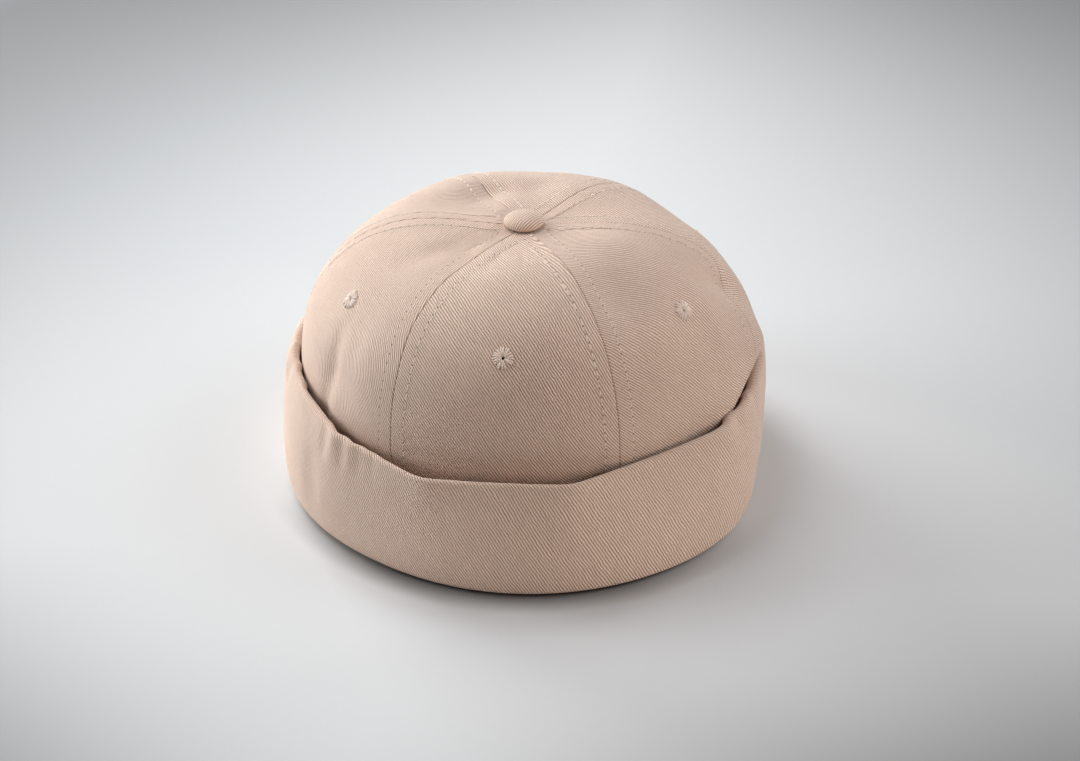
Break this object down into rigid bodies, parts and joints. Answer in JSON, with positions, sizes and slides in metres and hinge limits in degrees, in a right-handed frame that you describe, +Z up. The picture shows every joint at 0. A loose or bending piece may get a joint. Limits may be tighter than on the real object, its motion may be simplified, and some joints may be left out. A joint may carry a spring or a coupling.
{
  "type": "docker hat",
  "caption": "Brimless close-fitting cap of cotton twill: gored rounded crown with a covered button and sewn eyelets, in a tall turned-up cuff that stands around it.",
  "frame": {"origin": "on the surface that the hat stands on, under the middle of its box", "axes": "+Z up to the button; -Y to the front, where the middle panel and its eyelet face; +X to the right seen from the front"},
  "size_m": [0.2002, 0.2068, 0.1135],
  "materials": {
    "cuff_twill": "matt beige cotton twill, doubled, fine diagonal ribs",
    "crown_twill": "matt beige cotton twill, fine diagonal ribs, topstitched seams",
    "button_twill": "matt beige cotton twill drawn over a button",
    "thread": "beige sewing thread with a soft sheen, in radial stitches"
  },
  "bodies": {
    "root": {"cuff": "cuff_twill", "crown_panel_front": "crown_twill", "crown_panel_front_right": "crown_twill", "crown_panel_back_right": "crown_twill", "crown_panel_back": "crown_twill", "crown_panel_back_left": "crown_twill", "crown_panel_front_left": "crown_twill", "eyelet_front": "thread", "eyelet_front_right": "thread", "eyelet_back_right": "thread", "eyelet_back": "thread", "eyelet_back_left": "thread", "eyelet_front_left": "thread", "top_button": "button_twill"}
  },
  "joints": []
}
